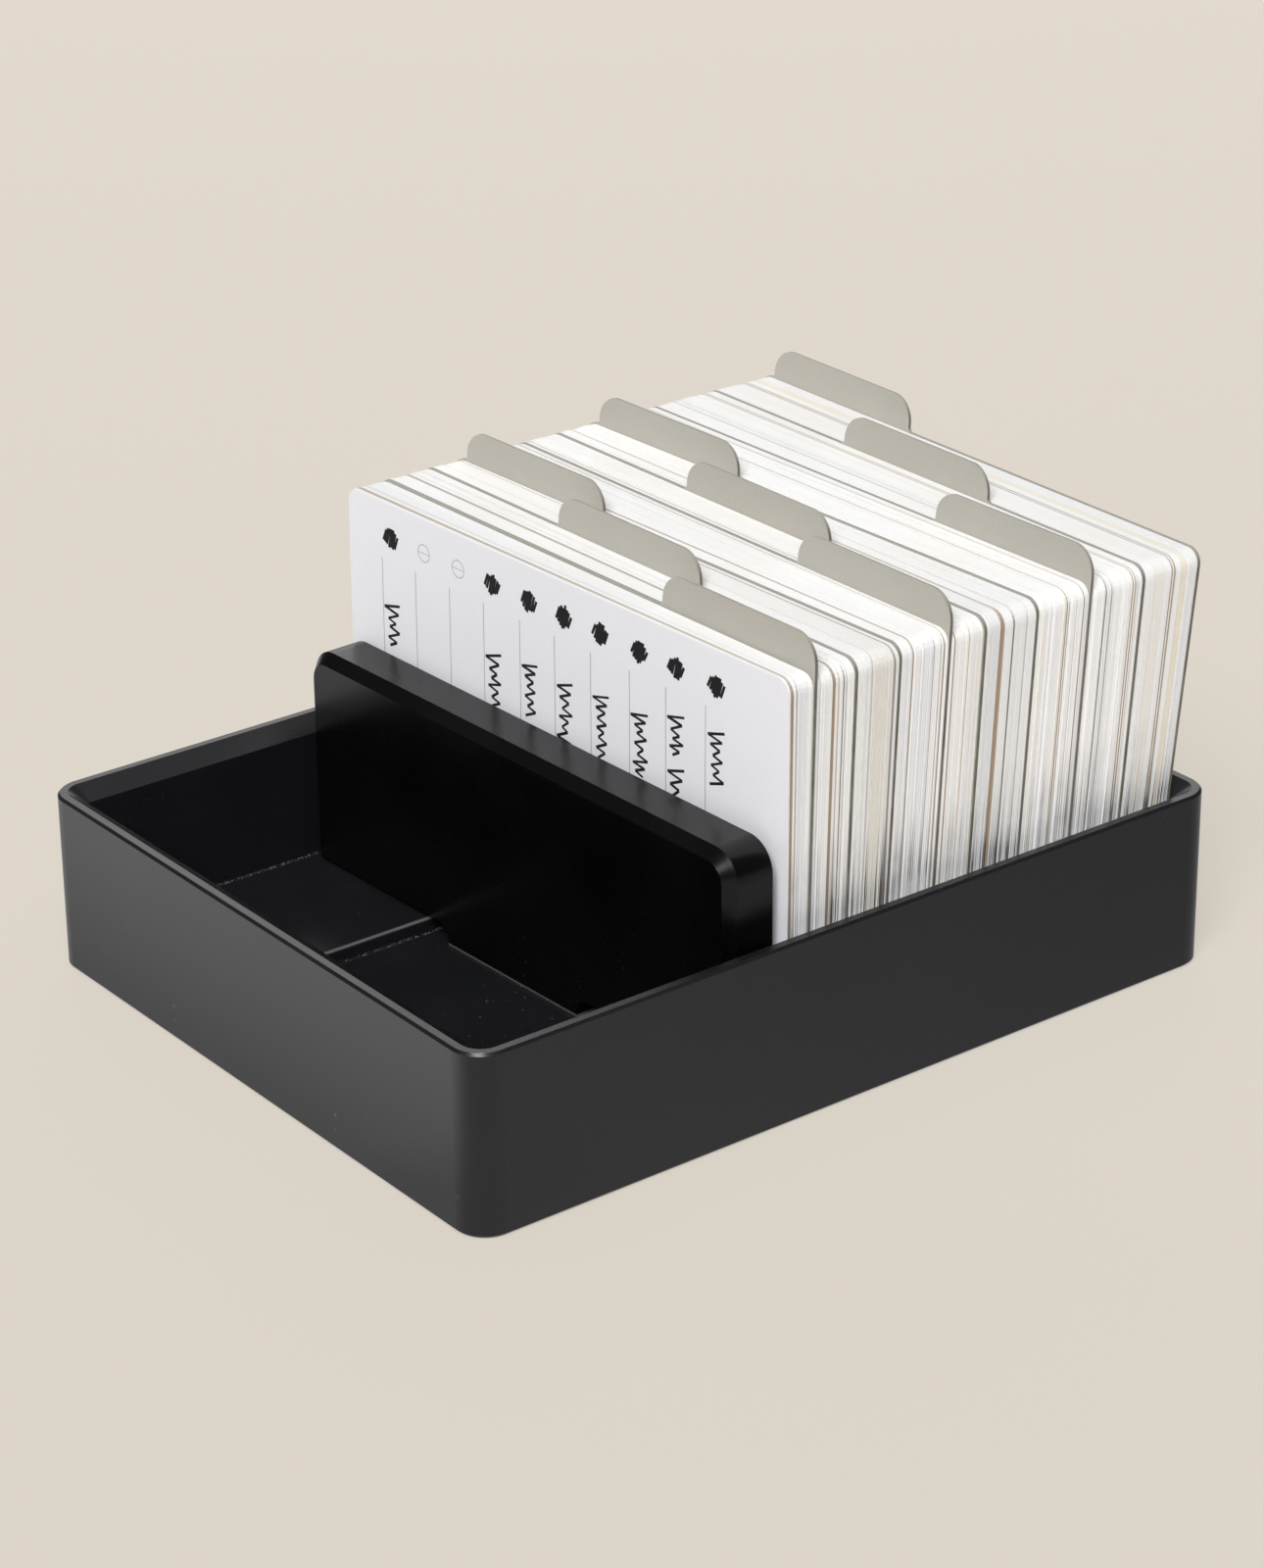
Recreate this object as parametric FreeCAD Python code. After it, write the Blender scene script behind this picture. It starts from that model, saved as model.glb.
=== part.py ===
import FreeCAD, Part
import math
import os
import random

# Desktop tray for index cards: a one-piece aluminium tray, a sliding block,
# tab dividers and the cards that stand between them. Millimetres.
# X runs along the cards, Y from the front wall to the back wall, Z up.
# The origin is the centre of the tray's underside.

# Cards
card_width = 127.0
card_height = 76.0
card_thickness = 0.23
card_pitch = 0.3
card_corner_radius = 3.0
card_height_spread = 0.3
card_side_spread = 0.12

# Tray, whose pocket takes the cards' width
card_side_play = 0.4
tray_depth = 173.8
tray_height = 36.2
tray_corner_radius = 6.3
wall_thickness = 5.8
rim_land = 1.95
rim_drop = 2.6
rim_outer_chamfer = 0.5
underside_chamfer = 0.6
platform_height = 7.4
channel_floor_height = 4.2
channel_width = 53.0
channel_edge_chamfer = 0.35

# Sliding block
block_side_play = 0.9
block_thickness = 10.2
block_top_height = 52.7
block_corner_radius = 6.0
block_chamfer = 2.1
block_skew = 2.1
block_offset = -0.5
wing_lift = 0.9
tongue_width = 39.0
tongue_root_radius = 3.0
tongue_lift = 0.1

# Tab dividers
divider_thickness = 0.65
tab_width = 41.5
tab_rise = 6.6
tab_corner_radius = 5.2
tab_root_radius = 1.0
left_tab_inset = 3.6
divider_play = 0.1

# How the stack stands
front_card_lean = 0.4
front_card_skew = 2.75
front_card_offset = 0.3
front_card_gap = 1.3
foot_play = 0.1
back_wall_play = 0.25

# Each row is one divider from front to back: tab place, depth of the pack in
# front of it, lean, skew, and where brown cards stand in that pack (0 to 1).
DIVIDERS = (
    ("right", 5.1, 1.45, 1.9, (0.06, 0.12)),
    ("middle", 8.1, 2.05, 1.6, (0.42, 0.46)),
    ("left", 7.2, 2.9, 2.7, (0.89,)),
    ("right", 11.7, 3.3, 1.3, (0.25, 0.93)),
    ("middle", 7.5, 3.45, 1.3, (0.12,)),
    ("left", 9.6, 4.0, 2.8, (0.3, 0.34)),
    ("right", 12.9, 4.15, 1.9, (0.56, 0.89)),
    ("middle", 12.6, 4.9, 0.9, (0.29, 0.83, 0.86)),
    ("left", 11.4, 6.6, 0.6, (0.52, 0.56)),
)
# Cream cards stand in the last pack between these places
CREAM_CARDS = (0.68, 0.82)

# Places that follow from the sizes above
pocket_half_width = card_width / 2 + card_side_play
tray_width = 2 * (pocket_half_width + wall_thickness)
back_wall_y = tray_depth / 2 - wall_thickness
band_foot_height = tray_height - rim_drop
block_width = 2 * pocket_half_width - 2 * block_side_play


def vec(x, y, z):
    return FreeCAD.Vector(x, y, z)


def rounded_outline(corners, place):
    """Closed wire through (a, b, radius) corners; place turns (a, b) into a point."""
    edges = []
    starts = []
    ends = []
    mids = []
    count = len(corners)
    for i in range(count):
        a, b, radius = corners[i]
        here = vec(a, b, 0)
        before = vec(corners[i - 1][0], corners[i - 1][1], 0) - here
        after = vec(corners[(i + 1) % count][0], corners[(i + 1) % count][1], 0) - here
        before.normalize()
        after.normalize()
        half = before.getAngle(after) / 2
        reach = radius / math.tan(half)
        bisector = before + after
        bisector.normalize()
        centre_gap = radius / math.sin(half)
        starts.append(here + before * reach)
        ends.append(here + after * reach)
        mids.append(here + bisector * (centre_gap - radius))
    for i in range(count):
        following = (i + 1) % count
        if corners[i][2] > 0:
            arc = Part.Arc(place(starts[i]), place(mids[i]), place(ends[i]))
            edges.append(arc.toShape())
        if (starts[following] - ends[i]).Length > 1e-6:
            run = Part.LineSegment(place(ends[i]), place(starts[following]))
            edges.append(run.toShape())
    return Part.Wire(edges)


def plan_outline(width, depth, radius, height):
    """Rounded rectangle lying at one height."""
    half_w = width / 2
    half_d = depth / 2
    corners = [
        (-half_w, -half_d, radius),
        (half_w, -half_d, radius),
        (half_w, half_d, radius),
        (-half_w, half_d, radius),
    ]
    return rounded_outline(corners, lambda p: vec(p.x, p.y, height))


def upright_plate(corners, thickness):
    """Plate standing in the XZ plane, its front face at y = 0."""
    wire = rounded_outline(corners, lambda p: vec(p.x, 0, p.y))
    return Part.Face(wire).extrude(vec(0, thickness, 0))


def edges_at_height(shape, height):
    found = []
    for edge in shape.Edges:
        box = edge.BoundBox
        if abs(box.ZMin - height) < 1e-6 and abs(box.ZMax - height) < 1e-6:
            found.append(edge)
    return found


def make_tray():
    outer = Part.Face(plan_outline(tray_width, tray_depth, tray_corner_radius, 0))
    body = outer.extrude(vec(0, 0, tray_height))
    body = body.makeChamfer(rim_outer_chamfer, edges_at_height(body, tray_height))
    body = body.makeChamfer(underside_chamfer, edges_at_height(body, 0))
    pocket_radius = max(tray_corner_radius - wall_thickness, 0.3)
    inner_w = tray_width - 2 * wall_thickness
    inner_d = tray_depth - 2 * wall_thickness
    pocket_foot = plan_outline(inner_w, inner_d, pocket_radius, platform_height)
    pocket = Part.Face(pocket_foot).extrude(vec(0, 0, band_foot_height - platform_height))
    land_w = tray_width - 2 * rim_land
    land_d = tray_depth - 2 * rim_land
    low = plan_outline(inner_w, inner_d, pocket_radius, band_foot_height)
    high = plan_outline(land_w, land_d, tray_corner_radius - rim_land, tray_height)
    band = Part.makeLoft([low, high], True, True)
    return body.cut(pocket).cut(band).cut(make_channel(inner_d))


def make_channel(length):
    """Shallow channel between the two platforms, its upper edges eased."""
    half = channel_width / 2
    ease = channel_edge_chamfer
    points = [
        (-half, channel_floor_height),
        (half, channel_floor_height),
        (half, platform_height - ease),
        (half + ease, platform_height),
        (-half - ease, platform_height),
        (-half, platform_height - ease),
    ]
    loop = [vec(x, -length / 2, z) for x, z in points]
    face = Part.Face(Part.makePolygon(loop + loop[:1]))
    return face.extrude(vec(0, length, 0))


def make_block():
    """Block with wings over the platforms and a tongue in the channel."""
    half = block_width / 2
    wing = platform_height + wing_lift
    foot = channel_floor_height + tongue_lift
    root = min(tongue_root_radius, wing - foot)
    tongue = tongue_width / 2
    corners = [
        (-tongue, foot, 0),
        (tongue, foot, 0),
        (tongue, wing, root),
        (half, wing, 0),
        (half, block_top_height, block_corner_radius),
        (-half, block_top_height, block_corner_radius),
        (-half, wing, 0),
        (-tongue, wing, root),
    ]
    block = upright_plate(corners, block_thickness)
    front_edges = []
    for edge in block.Edges:
        box = edge.BoundBox
        on_front = box.YMax < 1e-6
        above_wing = box.ZMax > wing + block_corner_radius
        if on_front and above_wing:
            front_edges.append(edge)
    block = block.makeChamfer(block_chamfer, front_edges)
    block.translate(vec(0, -block_thickness, 0))
    block.rotate(vec(0, 0, 0), vec(0, 0, 1), block_skew)
    return block


def card_corners(height):
    half = card_width / 2
    radius = card_corner_radius
    return [(-half, 0, radius), (half, 0, radius), (half, height, radius), (-half, height, radius)]


def divider_corners(tab):
    """Card outline with a tab standing above its upper edge."""
    half = card_width / 2
    radius = card_corner_radius
    top = card_height + tab_rise
    tip = min(tab_corner_radius, tab_rise - tab_root_radius)
    root = tab_root_radius
    foot = [(-half, 0, radius), (half, 0, radius)]
    if tab == "right":
        start = half - tab_width
        tab_part = [(half, top, tip), (start, top, tip), (start, card_height, root)]
        return foot + tab_part + [(-half, card_height, radius)]
    start = -half + left_tab_inset
    if tab == "middle":
        start = -tab_width / 2
    end = start + tab_width
    tab_part = [
        (end, card_height, root),
        (end, top, tip),
        (start, top, tip),
        (start, card_height, root),
    ]
    right_shoulder = [(half, card_height, radius)]
    left_radius = radius
    if tab == "left":
        left_radius = min(radius, left_tab_inset - root)
    left_shoulder = [(-half, card_height, left_radius)]
    return foot + right_shoulder + tab_part + left_shoulder


def depth_of(thickness, lean, skew):
    """Length along Y that a leaning, skewed leaf takes up at one height."""
    return thickness / (math.cos(math.radians(lean)) * math.cos(math.radians(skew)))


def stand(leaf, thickness, x, y, lean, skew):
    """Leans the leaf back, turns it and stands it on the platforms at (x, y)."""
    placed = leaf.copy()
    placed.rotate(vec(0, 0, 0), vec(1, 0, 0), -lean)
    placed.rotate(vec(0, 0, 0), vec(0, 0, 1), skew)
    lift = foot_play + thickness * math.sin(math.radians(lean))
    placed.translate(vec(x, y, platform_height + lift))
    return placed


def last_divider_foot():
    """Front foot of the rear divider, which leans on the back wall."""
    tab, depth, lean, skew, brown = DIVIDERS[-1]
    rise = band_foot_height - platform_height
    behind = rise * math.tan(math.radians(lean)) + card_width / 2 * math.tan(math.radians(skew))
    rear = back_wall_y - back_wall_play - behind
    return rear - depth_of(divider_thickness, lean, skew)


def make_pack(front_y, depth, front_pose, rear_pose, number):
    """Cards of one pack as (share, solid), fanned from the front pose to the rear pose."""
    jitter = random.Random(number)
    cards = []
    count = round(depth / card_pitch)
    for i in range(count):
        share = (i + 0.5) / count
        lean = front_pose[0] + (rear_pose[0] - front_pose[0]) * share
        skew = front_pose[1] + (rear_pose[1] - front_pose[1]) * share
        height = card_height - card_height_spread * jitter.random()
        side = card_side_spread * (2 * jitter.random() - 1)
        card = upright_plate(card_corners(height), card_thickness)
        y = front_y + share * depth - card_thickness / 2
        cards.append((share, stand(card, card_thickness, side, y, lean, skew)))
    return cards


def sort_cards(cards, brown, cream):
    """Parts a pack's cards into white, brown and cream ones by their place in the pack."""
    whites = []
    browns = []
    creams = []
    half_step = 0.5 / len(cards)
    for share, card in cards:
        if any(abs(share - place) <= half_step for place in brown):
            browns.append(card)
        elif cream[0] <= share <= cream[1]:
            creams.append(card)
        else:
            whites.append(card)
    return whites, browns, creams


def export(name, solids):
    shape = solids[0] if len(solids) == 1 else Part.makeCompound(solids)
    shape.exportStep("parts/" + name + ".step")


def make_stack():
    """Builds dividers and packs from the back wall forwards; returns the front card's pose."""
    y = last_divider_foot()
    for row in range(len(DIVIDERS), 0, -1):
        tab, depth, lean, skew, brown = DIVIDERS[row - 1]
        divider = upright_plate(divider_corners(tab), divider_thickness)
        export("divider_%d" % row, [stand(divider, divider_thickness, 0, y, lean, skew)])
        front_pose = (front_card_lean, front_card_skew)
        if row > 1:
            front_pose = DIVIDERS[row - 2][2:4]
        y = y - divider_play - depth
        cards = make_pack(y, depth, front_pose, (lean, skew), row)
        cream = CREAM_CARDS if row == len(DIVIDERS) else (1, 0)
        whites, browns, creams = sort_cards(cards, brown, cream)
        export("card_pack_%d" % row, whites)
        export("brown_cards_%d" % row, browns)
        if creams:
            export("cream_cards_%d" % row, creams)
        ahead = divider_thickness if row > 1 else card_thickness
        y = y - divider_play - depth_of(ahead, front_pose[0], front_pose[1])
    return y


def main():
    os.makedirs("parts", exist_ok=True)
    export("tray", [make_tray()])
    front_y = make_stack()
    card = upright_plate(card_corners(card_height), card_thickness)
    front = stand(card, card_thickness, front_card_offset, front_y, front_card_lean, front_card_skew)
    export("front_card", [front])
    block = make_block()
    block.translate(vec(block_offset, front_y - front_card_gap, 0))
    export("sliding_block", [block])


main()
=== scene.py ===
import math
import random

import bpy
from mathutils import Matrix, Vector


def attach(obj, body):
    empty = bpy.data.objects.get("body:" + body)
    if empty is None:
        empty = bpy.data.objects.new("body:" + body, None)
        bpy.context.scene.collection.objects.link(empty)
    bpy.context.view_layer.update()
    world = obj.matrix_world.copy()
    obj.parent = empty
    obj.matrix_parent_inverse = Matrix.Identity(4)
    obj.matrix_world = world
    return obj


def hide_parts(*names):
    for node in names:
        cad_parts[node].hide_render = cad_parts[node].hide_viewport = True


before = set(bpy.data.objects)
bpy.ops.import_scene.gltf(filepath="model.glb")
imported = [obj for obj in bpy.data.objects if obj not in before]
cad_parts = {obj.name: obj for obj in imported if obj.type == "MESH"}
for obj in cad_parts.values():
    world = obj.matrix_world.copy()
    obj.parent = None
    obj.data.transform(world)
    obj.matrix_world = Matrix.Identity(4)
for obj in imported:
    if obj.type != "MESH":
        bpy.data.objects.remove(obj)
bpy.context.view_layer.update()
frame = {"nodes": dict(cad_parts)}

MM = 0.001

# Where the leaves stand, as they were built: millimetres and degrees
BACK_WALL = 81.1
BAND_FOOT = 33.6
PLATFORM = 7.4
CHANNEL_FLOOR = 4.2
CHANNEL_WIDTH = 53.0
CHANNEL_EDGE = 0.35
POCKET_WIDTH = 127.8
CARD_WIDTH = 127.0
CARD_HEIGHT = 76.0
CARD_ROUNDING = 3.0
CARD_THICKNESS = 0.23
CARD_PITCH = 0.3
DIVIDER_THICKNESS = 0.65
DIVIDER_PLAY = 0.1
FRONT_LEAN = 0.4
FRONT_SKEW = 2.75
FRONT_SIDE = 0.3
FOOT_PLAY = 0.1
BACK_PLAY = 0.25

# One row for each divider: depth of the pack in front, lean, skew, where its brown cards are
ROWS = (
    (5.1, 1.45, 1.9, (0.06, 0.12)),
    (8.1, 2.05, 1.6, (0.42, 0.46)),
    (7.2, 2.9, 2.7, (0.89,)),
    (11.7, 3.3, 1.3, (0.25, 0.93)),
    (7.5, 3.45, 1.3, (0.12,)),
    (9.6, 4.0, 2.8, (0.3, 0.34)),
    (12.9, 4.15, 1.9, (0.56, 0.89)),
    (12.6, 4.9, 0.9, (0.29, 0.83, 0.86)),
    (11.4, 6.6, 0.6, (0.52, 0.56)),
)
# Part of the last pack that is cream
CREAM = (0.68, 0.82)

# How the cards are dealt: millimetres, and shares of a card's height or of the gaps in its pack
DRAWN_THICKNESS = 0.285
CORNER_SEGMENTS = 5
SAME_PLACE = 1e-6
PACK_SEED = 40
BUNCH_SIZES = (1, 2, 3, 5, 7, 9)
BUNCH_SIDE = 0.18
BUNCH_SINK = 0.002
BUNCH_GAP = (0.2, 1.0)
CARD_SIDE = 0.04
CARD_GAP = 0.01
DARK_CHANCE = 0.35
DARK_SIDE = 0.08
DARK_SINK = 0.003
DARK_GAP = 0.2
LAST_GAP = 0.3

# Tones of the white cards, from a card's tint 0 to 1; from the dark tint on they are thin lines in the stack,
# painted shade of the gaps between cards
DARK_TINT = 0.90
TINT_JITTER = 0.004
CARD_TONES = (
    (0.0, (1.0, 1.0, 1.0)),
    (0.42, (0.975, 0.975, 0.98)),
    (0.56, (0.91, 0.92, 0.945)),
    (0.64, (0.97, 0.945, 0.90)),
    (0.74, (1.0, 0.995, 0.985)),
    (0.84, (0.92, 0.89, 0.83)),
    (DARK_TINT, (0.66, 0.665, 0.69)),
    (0.925, (0.68, 0.56, 0.44)),
    (0.95, (0.42, 0.40, 0.36)),
    (0.98, (0.20, 0.195, 0.19)),
)

# Colours
PAPER_BEIGE = (0.730, 0.672, 0.597, 1)
TABLE_BEIGE = (0.655, 0.603, 0.536, 1)
TRAY_BLACK = (0.0075, 0.0079, 0.0094, 1)
BLOCK_BLACK = (0.0008, 0.0008, 0.0010, 1)
WORN_BLACK = (0.012, 0.012, 0.013, 1)
# Painted highlight along the channel edges and the foot of the block's tongue
HIGHLIGHT_GREY = (0.10, 0.10, 0.103, 1)
DUST_GREY = (0.30, 0.29, 0.28, 1)
FULL_WHITE = (1.0, 1.0, 1.0, 1)
PAPER_WHITE = (0.90, 0.897, 0.893, 1)
WARM_WHITE = (0.995, 0.98, 0.955, 1)
FRONT_WHITE = (0.887, 0.89, 0.94, 1)
BROWN_PAPER = (0.40, 0.31, 0.225, 1)
CREAM_PAPER = (0.84, 0.78, 0.68, 1)
MOTTLE_TONE = (0.86, 0.85, 0.84, 1)
# Painted shade, partly dirt, low on the cards' ends
STREAK_GREY = (0.045, 0.048, 0.055, 1)
BOARD_GREY = (0.455, 0.437, 0.387, 1)
BOARD_EDGE = (0.13, 0.125, 0.103, 1)
PEN_BLACK = (0.012, 0.012, 0.014, 1)
PRINT_GREY = (0.42, 0.42, 0.43, 1)

# Noises: scale per metre, detail, and the values between which their masks rise
CLOUDS = (38.0, 4.0, 0.3, 0.7)
SPECKS = (1500.0, 1.0, 0.735, 0.76)
PATCHES = (24.0, 2.0, 0.45, 0.7)
GRAINS = (2600.0, 1.0, 0.52, 0.62)
HANDLED = (160.0, 3.0, 0.35, 0.65)
WARM_SPOTS = (55.0, 2.0, 0.4, 0.65)
CLUSTERS = (75.0, 2.0, 0.36, 0.6)
TABLE_GRAIN = (600.0, 3.0, 0.3, 0.7)
PITS = (5200.0, 2.0)
PAPER_CLOUDS = (60.0, 3.0)
FIBRE_DETAIL = 4.0
FIBRE_TWIST = 0.8
CARD_FIBRES = 900.0
BOARD_FIBRES = 1400.0
INK_FIBRES = 2500.0

# Metal: colour, cloud lift, stray dust, roughness from and to, gloss
TRAY_LOOK = (TRAY_BLACK, 0.4, 0.45, 0.25, 0.31, 0.5)
BLOCK_LOOK = (BLOCK_BLACK, 0.1, 0.1, 0.24, 0.30, 0.36)
RUBBED_ROUGHNESS = 0.6
DUST_HEIGHT = 2.0
FOOT_DUST = 0.55
# Metres: where dust ends towards the outside and begins behind the front wall, how a foot line or the
# painted highlight on the channel edges fades, and the end of the block's tongue, under which a painted
# highlight lies
DUST_SIDE = (0.0630, 0.0641)
DUST_FRONT = (-0.0813, -0.0802)
LINE_FADE = (0.0001, 0.0005)
TONGUE_FOOT = (0.00455, 0.0048)

# Surfaces: bumps in millimetres, glosses and mottles
METAL_BUMP = 0.007
PAPER_BUMP = 0.02
BUMP_STRENGTH = 0.6
PAPER_GLOSS = 0.25
BOARD_GLOSS = 0.3
CARD_MOTTLE = 0.2
FRONT_MOTTLE = 0.12
BOARD_MOTTLE = 0.35
INK_MOTTLE = 0.5
# How far a surface faces up, and how a cut edge is told from a face by where it faces
UPWARD = (0.3, 0.9)
CUT_FACING = (0.5, 0.7)
END_FACING = (0.5, 0.8)
# How far the cards' top edges are painted even and white, as lit from above
TOP_EVENNESS = 0.95
TOP_WHITE = 0.4
# Painted shade, partly dirt, in streaks low on the cards' ends by the black rim: full at the foot height,
# nearly gone at the end height below it and faded out at the top height, in millimetres
STREAK_END = 20.0
STREAK_FOOT = 35.0
STREAK_TOP = 54.0
STREAK_FADE = 1.5
STREAK_RARITY = 2.0
STREAK_LEAST = 0.06
STREAK_MOST = 1.5

# Print and pen marks of the front card, in millimetres
MARK_HEIGHT = 69.0
MARKS = (-50.4, -40.0, -29.5, -19.2, -8.4, 1.8, 12.2, 23.2, 33.3, 44.2)
OPEN_MARKS = (1, 2)
RULE_OFFSET = -2.8
RULE_TOP = 64.4
RULE_FOOT = 6.0
RULE_WIDTH = 0.2
RING_RADIUS = 1.75
RING_LINE = 0.09
BAR_WIDTH = 0.15
PRINT_RISE = 0.02
PEN_RISE = 0.03
PEN_SEED = 7
SCRIBBLE_STROKES = 7
SCRIBBLE_STEP = 0.57
SCRIBBLE_START = -1.7
SCRIBBLE_REACH = 2.15
SCRIBBLE_WIDTH = 0.76
SCRAWL_OFFSET = 0.3
SCRAWL_MIDDLE = 2.5
SCRAWL_REACH = (3.4, 4.7)
SCRAWL_LEAST = 1.9
SCRAWL_SHRINK = 0.78
SCRAWL_WIDTH = (0.55, 0.7)
# Mark that pen strokes stand under, the height they start at and how far they run down
SCRAWLS = (
    (0, 55.5, 8.0),
    (3, 55.3, 13.0),
    (4, 56.5, 10.5),
    (5, 56.1, 14.0),
    (6, 57.0, 14.0),
    (7, 57.0, 12.5),
    (8, 60.0, 7.5),
    (8, 49.5, 7.0),
    (9, 60.5, 10.7),
)

# Table, lights and camera: metres and degrees
TABLE_SIZE = 6
TABLE_GLOW = 0.65
TABLE_ROUGHNESS = (0.85, 0.95)
# Painted reflection: glow that glossy rays see in the table, as a board; a place's span and the strength at
# both its ends
BOARD_BEFORE = (-0.125, -0.090, 1.10, 0.62)
BOARD_FADING = (0.030, 0.100, 1.0, 0.35)
BOARD_BESIDE = (-0.040, 0.110, 0.56, 0.38)
DOME = (0.72, 0.98, 0.085, 0.62)
CAMERA_TURN = (52.557, 24.952, -0.562)
CAMERA_TARGET = (-0.02887, 0.02288, 0.0200)
CAMERA_DISTANCE = 0.88932
FOCAL_PIXELS = 4555.1
PICTURE_HEIGHT = 1600
SENSOR_WIDTH = 36.0

# Sockets of a mix node that belong to its colours
MIX_FACTOR, MIX_FIRST, MIX_SECOND, MIX_RESULT = 0, 6, 7, 2


def put_down_everything():
    bpy.ops.object.select_all(action="DESELECT")
    bpy.context.view_layer.objects.active = None


# Materials

def add_node(tree, kind, **settings):
    node = tree.nodes.new(kind)
    for name, value in settings.items():
        setattr(node, name, value)
    return node


def feed(tree, socket, value):
    """Sets a socket to a number or colour, or links another node's output to it."""
    if isinstance(value, (int, float, tuple)):
        socket.default_value = value
    else:
        tree.links.new(value, socket)


def coordinates(tree, kind="Object"):
    return add_node(tree, "ShaderNodeTexCoord").outputs[kind]


def split(tree, vector):
    """X, Y and Z of a vector."""
    node = add_node(tree, "ShaderNodeSeparateXYZ")
    tree.links.new(vector, node.inputs[0])
    return node.outputs


def noise(tree, place, scale, detail, distortion=0.0):
    node = add_node(tree, "ShaderNodeTexNoise")
    values = {"Vector": place, "Scale": scale, "Detail": detail, "Distortion": distortion}
    for name, value in values.items():
        feed(tree, node.inputs[name], value)
    return node.outputs["Fac"]


def spread(tree, value, low, high, to_low=0.0, to_high=1.0):
    """Maps low..high of a mask to to_low..to_high, held at both ends."""
    node = add_node(tree, "ShaderNodeMapRange")
    values = {"Value": value, "From Min": low, "From Max": high, "To Min": to_low, "To Max": to_high}
    for name, amount in values.items():
        feed(tree, node.inputs[name], amount)
    return node.outputs["Result"]


def blotches(tree, place, look, to_low=0.0, to_high=1.0):
    """Mask made from a noise."""
    scale, detail, low, high = look
    return spread(tree, noise(tree, place, scale, detail), low, high, to_low, to_high)


def calc(tree, operation, first, second=0.0):
    node = add_node(tree, "ShaderNodeMath", operation=operation)
    feed(tree, node.inputs[0], first)
    feed(tree, node.inputs[1], second)
    return node.outputs[0]


def times(tree, *factors):
    product = factors[0]
    for factor in factors[1:]:
        product = calc(tree, "MULTIPLY", product, factor)
    return product


def mix_colour(tree, mask, first, second, blend="MIX"):
    node = add_node(tree, "ShaderNodeMix", data_type="RGBA", blend_type=blend)
    for number, value in ((MIX_FACTOR, mask), (MIX_FIRST, first), (MIX_SECOND, second)):
        feed(tree, node.inputs[number], value)
    return node.outputs[MIX_RESULT]


def mix_shader(tree, mask, first, second):
    node = add_node(tree, "ShaderNodeMixShader")
    for socket, value in zip(node.inputs, (mask, first, second)):
        tree.links.new(value, socket)
    return node.outputs[0]


def new_group(name, amounts):
    """Empty shader group: a colour and amounts go in, and a colour, a roughness and a height come out."""
    group = bpy.data.node_groups.new(name, "ShaderNodeTree")
    sockets = [("INPUT", "Colour")] + [("INPUT", amount) for amount in amounts]
    sockets += [("OUTPUT", "Colour"), ("OUTPUT", "Roughness"), ("OUTPUT", "Height")]
    for way, label in sockets:
        kind = "NodeSocketColor" if label == "Colour" else "NodeSocketFloat"
        group.interface.new_socket(name=label, in_out=way, socket_type=kind)
    return group, group.nodes.new("NodeGroupInput").outputs, group.nodes.new("NodeGroupOutput").inputs


def make_blasted_metal():
    """Bead blasted and anodised surface: fine pits, cloudy sheen, stray dust and dust along foot lines."""
    amounts = ("Cloud Lift", "Dust", "Foot Dust", "Sheen Low", "Sheen High")
    group, source, target = new_group("blasted metal", amounts)
    place = coordinates(group)
    scale, detail, low, high = CLOUDS
    clouds = noise(group, place, scale, detail)
    specks = blotches(group, place, SPECKS)
    patches = blotches(group, place, PATCHES)
    stray = times(group, specks, patches, source["Dust"])
    along_feet = times(group, blotches(group, place, GRAINS), source["Foot Dust"])
    dust = calc(group, "MAXIMUM", stray, along_feet)
    lift = times(group, spread(group, clouds, low, high), source["Cloud Lift"])
    cloudy = mix_colour(group, lift, source["Colour"], WORN_BLACK)
    sheen = spread(group, clouds, low, high, source["Sheen Low"], source["Sheen High"])
    relief = calc(group, "ADD", noise(group, place, *PITS), times(group, dust, DUST_HEIGHT))
    feed(group, target["Colour"], mix_colour(group, dust, cloudy, DUST_GREY))
    feed(group, target["Roughness"], sheen)
    feed(group, target["Height"], relief)
    return group


def make_card_stock():
    """Uncoated stock: paper fibres, a faint mottle and a soft roughness."""
    group, source, target = new_group("card stock", ("Mottle", "Fibre Scale"))
    place = coordinates(group)
    fibre = noise(group, place, source["Fibre Scale"], FIBRE_DETAIL, FIBRE_TWIST)
    cloud = noise(group, place, *PAPER_CLOUDS)
    both = calc(group, "ADD", times(group, fibre, 0.5), times(group, cloud, 0.5))
    shade = times(group, spread(group, both, 0.35, 0.65), source["Mottle"])
    dark = mix_colour(group, 1.0, source["Colour"], MOTTLE_TONE, "MULTIPLY")
    feed(group, target["Colour"], mix_colour(group, shade, source["Colour"], dark))
    feed(group, target["Roughness"], spread(group, both, 0.3, 0.7, 0.62, 0.85))
    feed(group, target["Height"], fibre)
    return group


def new_material(name):
    material = bpy.data.materials.new(name)
    material.use_nodes = True
    tree = material.node_tree
    return material, tree, tree.nodes["Principled BSDF"]


def add_effect(tree, group, values):
    """Puts a group into a material, with these values at its inputs."""
    node = add_node(tree, "ShaderNodeGroup", node_tree=group)
    for name, value in values.items():
        feed(tree, node.inputs[name], value)
    return node


def finish_surface(tree, shader, effect, roughness, height_mm, gloss):
    """Joins a group's colour and height, and a roughness, to the shader."""
    bump = add_node(tree, "ShaderNodeBump")
    bump.inputs["Distance"].default_value = height_mm * MM
    bump.inputs["Strength"].default_value = BUMP_STRENGTH
    tree.links.new(effect.outputs["Height"], bump.inputs["Height"])
    tree.links.new(bump.outputs["Normal"], shader.inputs["Normal"])
    tree.links.new(effect.outputs["Colour"], shader.inputs["Base Color"])
    tree.links.new(roughness, shader.inputs["Roughness"])
    shader.inputs["Specular IOR Level"].default_value = gloss


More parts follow.
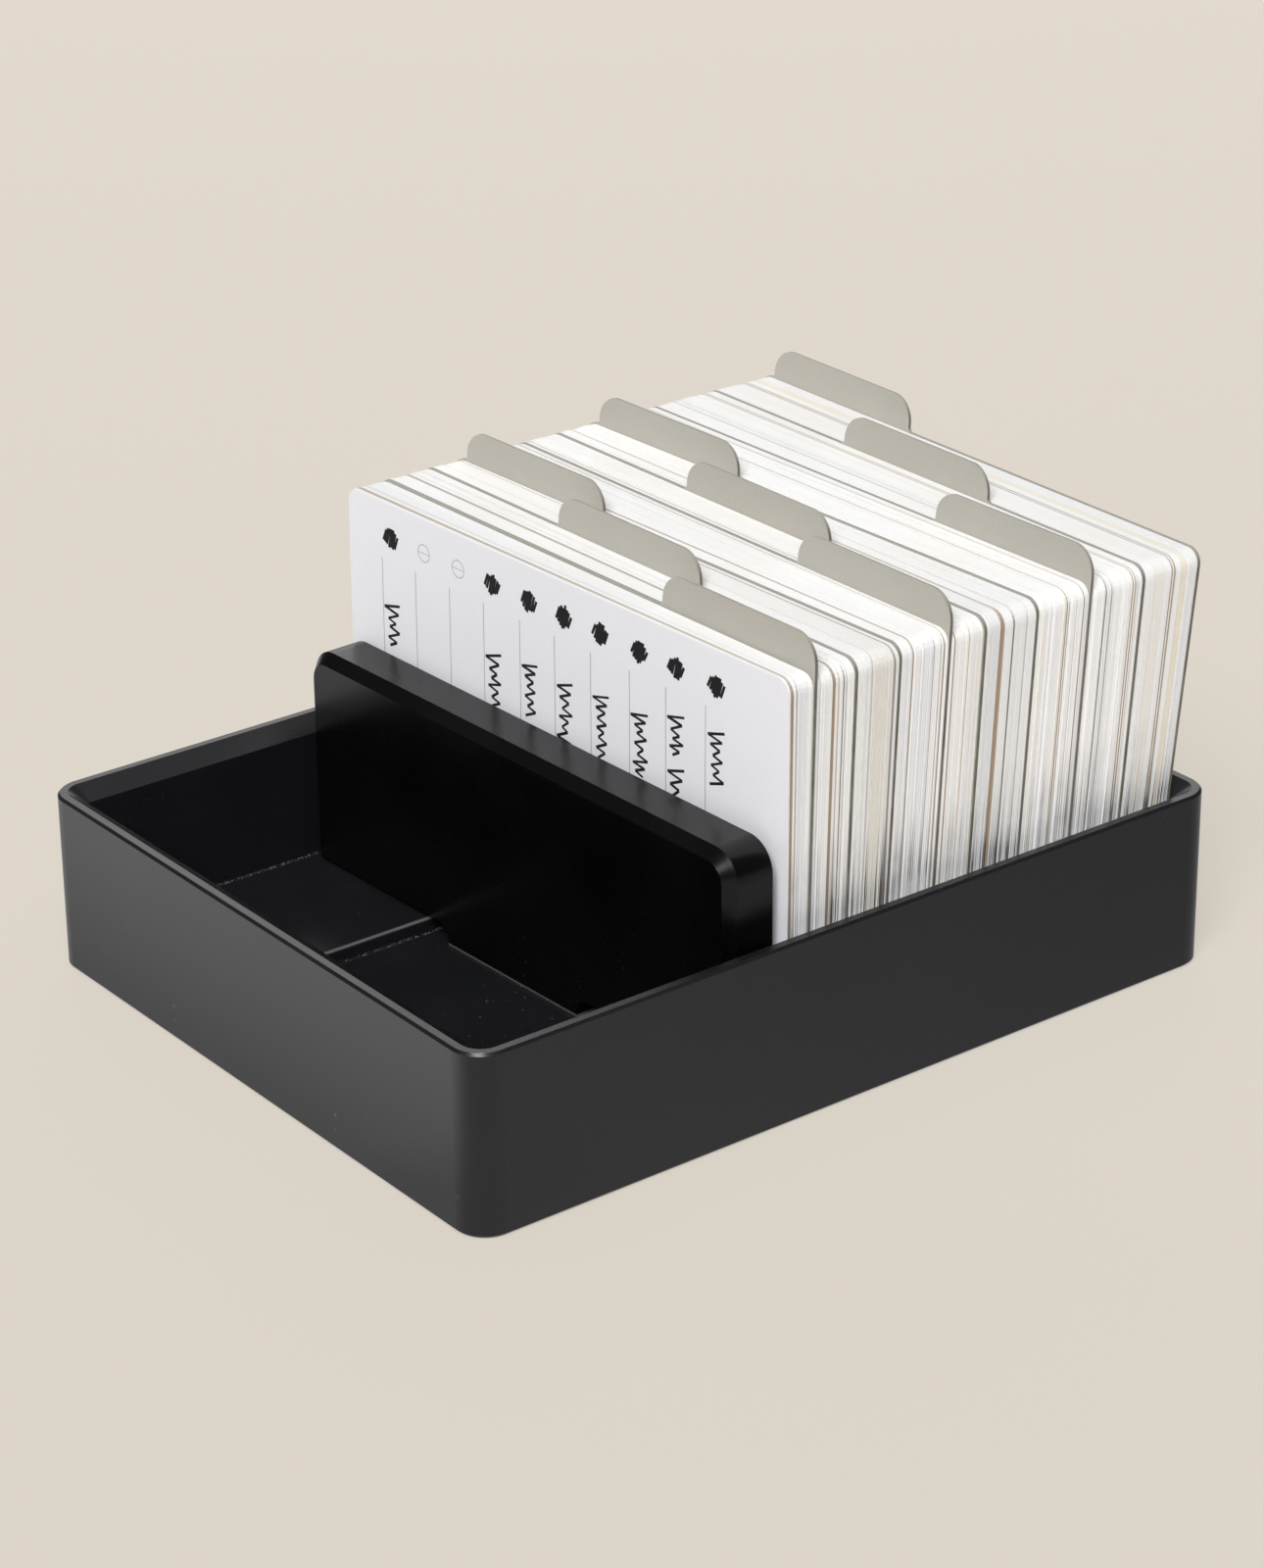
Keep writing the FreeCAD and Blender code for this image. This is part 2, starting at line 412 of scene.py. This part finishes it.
def foot_line(tree, side, height, wall, floor):
    """Mask of a narrow line where a wall that stands this far out meets its floor, in millimetres."""
    out = calc(tree, "ABSOLUTE", calc(tree, "SUBTRACT", side, wall * MM))
    up = calc(tree, "ABSOLUTE", calc(tree, "SUBTRACT", height, floor * MM))
    return times(tree, spread(tree, out, *LINE_FADE, 1.0, 0.0), spread(tree, up, *LINE_FADE, 1.0, 0.0))


def channel_edge_highlight(tree, side, height):
    """Mask of the upper edges of the channel, where a painted highlight line lies."""
    half = CHANNEL_EDGE / 2
    return foot_line(tree, side, height, CHANNEL_WIDTH / 2 + half, PLATFORM - half)


def tongue_foot_highlight(tree, side, height):
    """Mask of the foot of the tongue, at every place across it, where a painted highlight line lies."""
    return spread(tree, height, *TONGUE_FOOT, 1.0, 0.0)


def black_anodised(name, group, look, highlight_mask):
    """Black metal; the last argument gives the mask of a painted highlight line, also made rougher, from a
    place's side and height.
    """
    colour, cloud, stray, sheen_low, sheen_high, gloss = look
    material, tree, shader = new_material(name)
    across, along, height = split(tree, coordinates(tree))
    side = calc(tree, "ABSOLUTE", across)
    inside = spread(tree, side, *DUST_SIDE, stray, 0.0)
    behind_front = spread(tree, along, *DUST_FRONT)
    by_channel = foot_line(tree, side, height, CHANNEL_WIDTH / 2, CHANNEL_FLOOR)
    by_wall = foot_line(tree, side, height, POCKET_WIDTH / 2, PLATFORM)
    # Painted highlight line, lighter in colour and also rougher
    highlight_and_rubbed = highlight_mask(tree, side, height)
    effect = add_effect(tree, group, {
        "Colour": mix_colour(tree, highlight_and_rubbed, colour, HIGHLIGHT_GREY),
        "Cloud Lift": cloud,
        "Dust": times(tree, inside, behind_front),
        "Foot Dust": times(tree, calc(tree, "MAXIMUM", by_channel, by_wall), FOOT_DUST),
        "Sheen Low": sheen_low,
        "Sheen High": sheen_high,
    })
    roughness = calc(tree, "MAXIMUM", effect.outputs["Roughness"], times(tree, highlight_and_rubbed, RUBBED_ROUGHNESS))
    finish_surface(tree, shader, effect, roughness, METAL_BUMP, gloss)
    return material


def paper_material(name, group, colour, mottle, fibres=CARD_FIBRES, gloss=PAPER_GLOSS, toned=None):
    """Card stock of one colour, or toned by a function of the tree and that colour."""
    material, tree, shader = new_material(name)
    effect = add_effect(tree, group, {"Colour": colour, "Mottle": mottle, "Fibre Scale": fibres})
    if toned:
        tree.links.new(toned(tree, colour), effect.inputs["Colour"])
    finish_surface(tree, shader, effect, effect.outputs["Roughness"], PAPER_BUMP, gloss)
    return material


def edge_tones(tree, face):
    """Board with darker cut edges: a cut edge is where the surface turns away from front and back. Cut edges
    that face up are painted lighter, as lit from above.
    """
    facing = split(tree, coordinates(tree, "Normal"))
    cut = spread(tree, calc(tree, "ABSOLUTE", facing["Y"]), *CUT_FACING, 1.0, 0.0)
    lit = spread(tree, facing["Z"], *UPWARD, 1.0, 0.35)
    handled = blotches(tree, coordinates(tree), HANDLED, 0.75, 1.0)
    return mix_colour(tree, times(tree, cut, lit, handled), face, BOARD_EDGE)


def tint_tone(tree, tint):
    """Tone of a card from its tint."""
    ramp = add_node(tree, "ShaderNodeValToRGB")
    stops = ramp.color_ramp
    stops.interpolation = "CONSTANT"
    while len(stops.elements) < len(CARD_TONES):
        stops.elements.new(0.5)
    for element, (at, tone) in zip(stops.elements, CARD_TONES):
        element.position = at
        element.color = (*tone, 1)
    tree.links.new(tint, ramp.inputs["Fac"])
    return ramp.outputs["Color"]


def rim_shade_streaks(tree, tint, facing, place):
    """Mask of the painted shade, partly dirt, in streaks low on the cards' ends by the black rim, uneven from
    card to card.
    """
    scatter = add_node(tree, "ShaderNodeTexWhiteNoise", noise_dimensions="1D")
    tree.links.new(tint, scatter.inputs["W"])
    height = split(tree, place)["Z"]
    above = spread(tree, height, STREAK_FOOT * MM, STREAK_TOP * MM, 1.0, 0.0)
    below = spread(tree, height, STREAK_END * MM, STREAK_FOOT * MM, 0.05, 1.0)
    low = times(tree, calc(tree, "POWER", above, STREAK_FADE), below)
    endways = spread(tree, calc(tree, "ABSOLUTE", facing["X"]), *END_FACING)
    clusters = blotches(tree, place, CLUSTERS, 0.3, 1.0)
    rare = calc(tree, "POWER", scatter.outputs["Value"], STREAK_RARITY)
    uneven = spread(tree, rare, 0.0, 1.0, STREAK_LEAST, STREAK_MOST)
    return calc(tree, "MINIMUM", times(tree, low, endways, clusters, uneven), 1.0)


def card_tones(tree, colour):
    """Each card's own tone on its cut edge; painted light makes the top paler and even, and painted shade,
    partly dirt, lays grey streaks low on its end.
    """
    tint = add_node(tree, "ShaderNodeAttribute", attribute_name="tint").outputs["Fac"]
    facing = split(tree, coordinates(tree, "Normal"))
    place = coordinates(tree)
    upward = spread(tree, facing["Z"], *UPWARD)
    own = calc(tree, "SUBTRACT", 1.0, times(tree, upward, TOP_EVENNESS))
    warmth = times(tree, blotches(tree, place, WARM_SPOTS), upward)
    pale = mix_colour(tree, warmth, FULL_WHITE, WARM_WHITE)
    # Painted light: tops paler, as lit from above
    lit = mix_colour(tree, times(tree, upward, TOP_WHITE), colour, PAPER_WHITE)
    tone = mix_colour(tree, own, pale, tint_tone(tree, tint))
    toned = mix_colour(tree, 1.0, lit, tone, "MULTIPLY")
    return mix_colour(tree, rim_shade_streaks(tree, tint, facing, place), toned, STREAK_GREY)


def paint(obj, material):
    obj.data.materials.clear()
    obj.data.materials.append(material)


# Cards

def standing_place(x, y, thickness, lean, skew):
    """Matrix that stands a leaf on the platforms as it leans and turns."""
    lift = PLATFORM + FOOT_PLAY + thickness * math.sin(math.radians(lean))
    turn = Matrix.Rotation(math.radians(skew), 4, "Z") @ Matrix.Rotation(math.radians(-lean), 4, "X")
    return Matrix.Translation((x * MM, y * MM, lift * MM)) @ turn


def depth_of(thickness, lean, skew):
    return thickness / (math.cos(math.radians(lean)) * math.cos(math.radians(skew)))


def pack_places():
    """Row, front foot, depth, lean and skew at both faces, and browns of each pack; the front card's foot."""
    lean, skew = ROWS[-1][1:3]
    rise = BAND_FOOT - PLATFORM
    behind = rise * math.tan(math.radians(lean)) + CARD_WIDTH / 2 * math.tan(math.radians(skew))
    y = BACK_WALL - BACK_PLAY - behind - depth_of(DIVIDER_THICKNESS, lean, skew)
    places = []
    for row in range(len(ROWS), 0, -1):
        depth, lean, skew, brown = ROWS[row - 1]
        ahead = (FRONT_LEAN, FRONT_SKEW) if row == 1 else ROWS[row - 2][1:3]
        y = y - DIVIDER_PLAY - depth
        places.append((row, y, depth, ahead, (lean, skew), brown))
        leaf = CARD_THICKNESS if row == 1 else DIVIDER_THICKNESS
        y = y - DIVIDER_PLAY - depth_of(leaf, *ahead)
    return places, y


def cut_card(papers):
    """One card, its foot on the ground and its front face at y = 0, with rounded corners."""
    put_down_everything()
    centre = (0, DRAWN_THICKNESS / 2 * MM, CARD_HEIGHT / 2 * MM)
    bpy.ops.mesh.primitive_cube_add(size=1, location=centre)
    card = bpy.context.active_object
    card.scale = (CARD_WIDTH * MM, DRAWN_THICKNESS * MM, CARD_HEIGHT * MM)
    bpy.ops.object.transform_apply(location=True, rotation=True, scale=True)
    bpy.ops.object.mode_set(mode="EDIT")
    bpy.ops.mesh.select_mode(type="EDGE")
    bpy.ops.mesh.select_all(action="DESELECT")
    bpy.ops.object.mode_set(mode="OBJECT")
    for edge in card.data.edges:
        a, b = (card.data.vertices[i].co for i in edge.vertices)
        edge.select = abs(a.x - b.x) < SAME_PLACE and abs(a.z - b.z) < SAME_PLACE
    bpy.ops.object.mode_set(mode="EDIT")
    bpy.ops.mesh.bevel(offset=CARD_ROUNDING * MM, segments=CORNER_SEGMENTS, affect="EDGES")
    bpy.ops.object.mode_set(mode="OBJECT")
    for paper in papers:
        card.data.materials.append(paper)
    return card


def slot_of(share, step, brown, creamy):
    """Which paper the card at this share of the pack has: 0 white, 1 brown, 2 cream."""
    if any(abs(share - place) <= step / 2 for place in brown):
        return 1
    if creamy and CREAM[0] <= share <= CREAM[1]:
        return 2
    return 0


def deal_bunches(deal, number):
    """Cards of a pack as (tint, side, height share, gap in front): flush bunches, and single dark cards that
    paint the shade of a gap.
    """
    cards = []
    while len(cards) < number:
        tone = deal.random() * DARK_TINT
        side = deal.uniform(-BUNCH_SIDE, BUNCH_SIDE)
        tall = 1 - BUNCH_SINK * deal.random()
        for turn in range(deal.choice(BUNCH_SIZES)):
            gap = deal.uniform(*BUNCH_GAP) if turn == 0 else CARD_GAP
            own = tone + deal.uniform(0.0, TINT_JITTER)
            cards.append((own, side + deal.uniform(-CARD_SIDE, CARD_SIDE), tall, gap))
        # A single dark card, set back and lower: painted shade of a gap between cards
        if deal.random() < DARK_CHANCE:
            dark = deal.uniform(DARK_TINT, 1.0)
            cards.append((dark, side - DARK_SIDE, tall - DARK_SINK * deal.random(), DARK_GAP))
    return cards[:number]


def deal_pack(blank, row, y, depth, ahead, behind, brown):
    """Deals one pack of cards from the blank, fanned between the leaves at its two faces."""
    deal = random.Random(PACK_SEED + row)
    number = round(depth / CARD_PITCH)
    bunches = deal_bunches(deal, number)
    spare = depth - number * DRAWN_THICKNESS
    total = sum(gap for tone, side, tall, gap in bunches) + LAST_GAP
    at = 0.0
    cards = []
    for i, (tone, side, tall, gap) in enumerate(bunches):
        at += gap / total * spare
        share = (i + 0.5) / number
        lean = ahead[0] + (behind[0] - ahead[0]) * share
        skew = ahead[1] + (behind[1] - ahead[1]) * share
        card = blank.copy()
        card.data = blank.data.copy()
        bpy.context.collection.objects.link(card)
        place = standing_place(side, y + at, DRAWN_THICKNESS, lean, skew)
        card.data.transform(place @ Matrix.Diagonal((1, 1, tall, 1)))
        tint = card.data.attributes.new("tint", "FLOAT", "FACE")
        tint.data.foreach_set("value", [tone] * len(card.data.polygons))
        slot = slot_of(share, 1.0 / number, brown, row == len(ROWS))
        for face in card.data.polygons:
            face.material_index = slot
        cards.append(card)
        at += DRAWN_THICKNESS
    pack = join(cards, "cards_of_pack_%d" % row)
    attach(pack, "pack_%d" % row)
    nodes = ["card_pack_%d" % row, "brown_cards_%d" % row]
    if row == len(ROWS):
        nodes.append("cream_cards_9")
    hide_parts(*nodes)


def join(pieces, name):
    put_down_everything()
    for piece in pieces:
        piece.select_set(True)
    bpy.context.view_layer.objects.active = pieces[0]
    bpy.ops.object.join()
    whole = bpy.context.active_object
    whole.name = name
    return whole


# Print and pen marks of the front card

def pen_line(points, width, place, rise=PEN_RISE):
    """Ink laid on the card's face along points (across, up) in millimetres."""
    put_down_everything()
    bpy.ops.curve.primitive_bezier_curve_add()
    line = bpy.context.active_object
    spline = line.data.splines[0]
    spline.bezier_points.add(len(points) - 2)
    for knot, (across, up) in zip(spline.bezier_points, points):
        knot.co = (across * MM, 0, up * MM)
        knot.handle_left_type = "AUTO"
        knot.handle_right_type = "AUTO"
    line.data.dimensions = "3D"
    line.data.resolution_u = 5
    line.data.bevel_depth = width / 2 * MM
    line.data.bevel_resolution = 1
    line.data.use_fill_caps = True
    bpy.ops.object.convert(target="MESH")
    line = bpy.context.active_object
    line.data.transform(Matrix.Diagonal((1, rise / width, 1, 1)))
    line.data.transform(place)
    return line


def lay_on_card(pieces, name, material):
    """Joins ink or print into one piece that moves with the front card."""
    whole = join(pieces, name)
    paint(whole, material)
    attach(whole, "front_card")


def scribble(pen, across, place):
    """A mark filled in with quick straight strokes that lean to the right."""
    strokes = []
    for i in range(SCRIBBLE_STROKES):
        side = SCRIBBLE_START + SCRIBBLE_STEP * i + pen.uniform(-0.08, 0.08)
        reach = SCRIBBLE_REACH - 0.6 * abs(side)
        top = (across + side + 0.5, MARK_HEIGHT + reach + pen.uniform(-0.2, 0.4) - 0.25 * side)
        foot = (across + side - 0.5, MARK_HEIGHT - reach - pen.uniform(-0.2, 0.4) - 0.25 * side)
        strokes.append(pen_line((top, foot), SCRIBBLE_WIDTH, place))
    return strokes


def scrawl(pen, base, top, length, place):
    """Quick straight pen strokes to and fro, which run down beside a rule."""
    strokes = []
    down = 0.0
    side = 1
    reach = SCRAWL_REACH[1]
    last = (base + SCRAWL_MIDDLE + reach / 2, top)
    while down < length:
        side = -side
        down += pen.uniform(0.45, 0.75) if side > 0 else pen.uniform(1.0, 1.6)
        following = (base + SCRAWL_MIDDLE + side * reach / 2 + pen.uniform(-0.2, 0.2), top - down)
        strokes.append(pen_line((last, following), pen.uniform(*SCRAWL_WIDTH), place))
        reach = reach * SCRAWL_SHRINK if reach > SCRAWL_LEAST else pen.uniform(*SCRAWL_REACH)
        last = following
    return strokes


def print_ring(across, place):
    """An open mark: a thin ring with a bar across it."""
    put_down_everything()
    bpy.ops.mesh.primitive_torus_add(major_radius=RING_RADIUS * MM, minor_radius=RING_LINE * MM,
                                     major_segments=40, minor_segments=6)
    ring = bpy.context.active_object
    ring.data.transform(Matrix.Rotation(math.radians(90), 4, "X"))
    ring.data.transform(Matrix.Diagonal((1, 0.15, 1, 1)))
    ring.data.transform(Matrix.Translation((across * MM, 0, MARK_HEIGHT * MM)))
    ring.data.transform(place)
    ends = ((across - RING_RADIUS, MARK_HEIGHT), (across + RING_RADIUS, MARK_HEIGHT))
    return [ring, pen_line(ends, BAR_WIDTH, place, PRINT_RISE)]


def dress_front_card(front_y, ink, print_grey):
    place = standing_place(FRONT_SIDE, front_y, CARD_THICKNESS, FRONT_LEAN, FRONT_SKEW)
    pen = random.Random(PEN_SEED)
    inked = []
    printed = []
    for number, across in enumerate(MARKS):
        rule = ((across + RULE_OFFSET, RULE_TOP), (across + RULE_OFFSET, RULE_FOOT))
        printed.append(pen_line(rule, RULE_WIDTH, place, PRINT_RISE))
        if number in OPEN_MARKS:
            printed += print_ring(across, place)
        else:
            inked += scribble(pen, across, place)
    for number, top, length in SCRAWLS:
        inked += scrawl(pen, MARKS[number] + RULE_OFFSET + SCRAWL_OFFSET, top, length, place)
    lay_on_card(inked, "pen_marks", ink)
    lay_on_card(printed, "printed_rules", print_grey)


# Table, lights and camera

def make_floor():
    """Pale paper; to glossy rays it glows as a bright board in front of the tray that fades to the right, a
    painted reflection.
    """
    put_down_everything()
    bpy.ops.mesh.primitive_plane_add(size=TABLE_SIZE, location=(0, 0, 0))
    floor = bpy.context.active_object
    floor.name = "table_top"
    material, tree, shader = new_material("table top paper")
    place = coordinates(tree)
    tree.links.new(blotches(tree, place, TABLE_GRAIN, *TABLE_ROUGHNESS), shader.inputs["Roughness"])
    shader.inputs["Base Color"].default_value = TABLE_BEIGE
    shader.inputs["Specular IOR Level"].default_value = 0.0
    path = add_node(tree, "ShaderNodeLightPath").outputs
    glow = add_node(tree, "ShaderNodeEmission")
    glow.inputs["Color"].default_value = PAPER_BEIGE
    lifted = times(tree, path["Is Camera Ray"], TABLE_GLOW)
    seen = mix_shader(tree, lifted, shader.outputs[0], glow.outputs[0])
    spot = split(tree, place)
    before = times(tree, spread(tree, spot["Y"], *BOARD_BEFORE), spread(tree, spot["X"], *BOARD_FADING))
    beside = spread(tree, spot["Y"], *BOARD_BESIDE)
    # Painted reflection: a glow that only glossy rays see
    board = add_node(tree, "ShaderNodeEmission")
    tree.links.new(calc(tree, "MAXIMUM", before, beside), board.inputs["Strength"])
    mirrored = mix_shader(tree, path["Is Glossy Ray"], seen, board.outputs[0])
    tree.links.new(mirrored, tree.nodes["Material Output"].inputs["Surface"])
    paint(floor, material)


def aim(obj, at):
    obj.rotation_euler = (Vector(at) - obj.location).to_track_quat("-Z", "Y").to_euler()


def hang_light(name, kind, place, at):
    data = bpy.data.lights.new(name, kind)
    lamp = bpy.data.objects.new(name, data)
    bpy.context.collection.objects.link(lamp)
    lamp.location = place
    aim(lamp, at)
    return data


def soft_light(name, place, at, width, height, watts):
    data = hang_light(name, "AREA", place, at)
    data.shape = "RECTANGLE"
    data.size = width
    data.size_y = height
    data.energy = watts


def key_light(name, azimuth, elevation, strength, width):
    """A broad even light from the given side and height, as from a large softbox this wide in degrees."""
    side, up = math.radians(azimuth), math.radians(elevation)
    place = (math.sin(side) * math.cos(up), -math.cos(side) * math.cos(up), math.sin(up))
    data = hang_light(name, "SUN", place, (0, 0, 0))
    data.energy = strength
    data.angle = math.radians(width)


def light_the_table():
    """Beige backdrop for the camera, a dome that lights from above, and the lamps."""
    world = bpy.data.worlds.new("studio")
    bpy.context.scene.world = world
    world.use_nodes = True
    tree = world.node_tree
    backdrop = tree.nodes["Background"]
    backdrop.inputs["Color"].default_value = PAPER_BEIGE
    backdrop.inputs["Strength"].default_value = 1.0
    dome = add_node(tree, "ShaderNodeBackground")
    dome.inputs["Color"].default_value = FULL_WHITE
    height = split(tree, coordinates(tree, "Generated"))["Z"]
    tree.links.new(spread(tree, height, *DOME), dome.inputs["Strength"])
    path = add_node(tree, "ShaderNodeLightPath").outputs
    blend = mix_shader(tree, path["Is Camera Ray"], dome.outputs[0], backdrop.outputs[0])
    tree.links.new(blend, tree.nodes["World Output"].inputs["Surface"])
    key_light("large key", azimuth=41.0, elevation=48.0, strength=3.42, width=35.0)
    soft_light("low fill", (-1.3, -1.0, 0.25), (0, 0, 0.03), width=0.8, height=0.5, watts=1.5)
    soft_light("bright wall behind", (-1.08, 0.83, 0.63), (0, 0, 0.05), width=0.9, height=0.9, watts=3.7)


def set_camera():
    data = bpy.data.cameras.new("camera")
    camera = bpy.data.objects.new("camera", data)
    bpy.context.collection.objects.link(camera)
    azimuth, elevation, roll = (math.radians(angle) for angle in CAMERA_TURN)
    level_out = math.cos(elevation)
    back = Vector((math.sin(azimuth) * level_out, -math.cos(azimuth) * level_out, math.sin(elevation)))
    right = Vector((0, 0, 1)).cross(back).normalized()
    up = back.cross(right)
    level = right * math.cos(roll) + up * math.sin(roll)
    upright = -right * math.sin(roll) + up * math.cos(roll)
    turn = Matrix((level, upright, back)).transposed()
    place = Vector(CAMERA_TARGET) + back * CAMERA_DISTANCE
    camera.matrix_world = Matrix.Translation(place) @ turn.to_4x4()
    data.sensor_width = SENSOR_WIDTH
    data.lens = FOCAL_PIXELS * SENSOR_WIDTH / PICTURE_HEIGHT
    data.clip_start = 0.01
    data.clip_end = 20.0
    bpy.context.scene.camera = camera


def build():
    set_camera()
    light_the_table()
    make_floor()
    nodes = frame["nodes"]
    metal = make_blasted_metal()
    stock = make_card_stock()
    paint(nodes["tray"], black_anodised("tray black", metal, TRAY_LOOK, channel_edge_highlight))
    paint(nodes["sliding_block"], black_anodised("block black", metal, BLOCK_LOOK, tongue_foot_highlight))
    white = paper_material("white cards", stock, PAPER_WHITE, CARD_MOTTLE, toned=card_tones)
    brown = paper_material("brown cards", stock, BROWN_PAPER, CARD_MOTTLE, toned=card_tones)
    cream = paper_material("cream cards", stock, CREAM_PAPER, CARD_MOTTLE, toned=card_tones)
    paint(nodes["front_card"], paper_material("front card face", stock, FRONT_WHITE, FRONT_MOTTLE))
    board = paper_material("divider board", stock, BOARD_GREY, BOARD_MOTTLE, BOARD_FIBRES, BOARD_GLOSS,
                           edge_tones)
    for row in range(1, len(ROWS) + 1):
        paint(nodes["divider_%d" % row], board)
    ink = paper_material("pen ink", stock, PEN_BLACK, INK_MOTTLE, INK_FIBRES)
    print_grey = paper_material("printed grey", stock, PRINT_GREY, INK_MOTTLE, INK_FIBRES)
    blank = cut_card((white, brown, cream))
    places, front_y = pack_places()
    for place in places:
        deal_pack(blank, *place)
    bpy.data.objects.remove(blank)
    dress_front_card(front_y, ink, print_grey)
    bpy.context.scene.view_settings.view_transform = "Standard"


build()
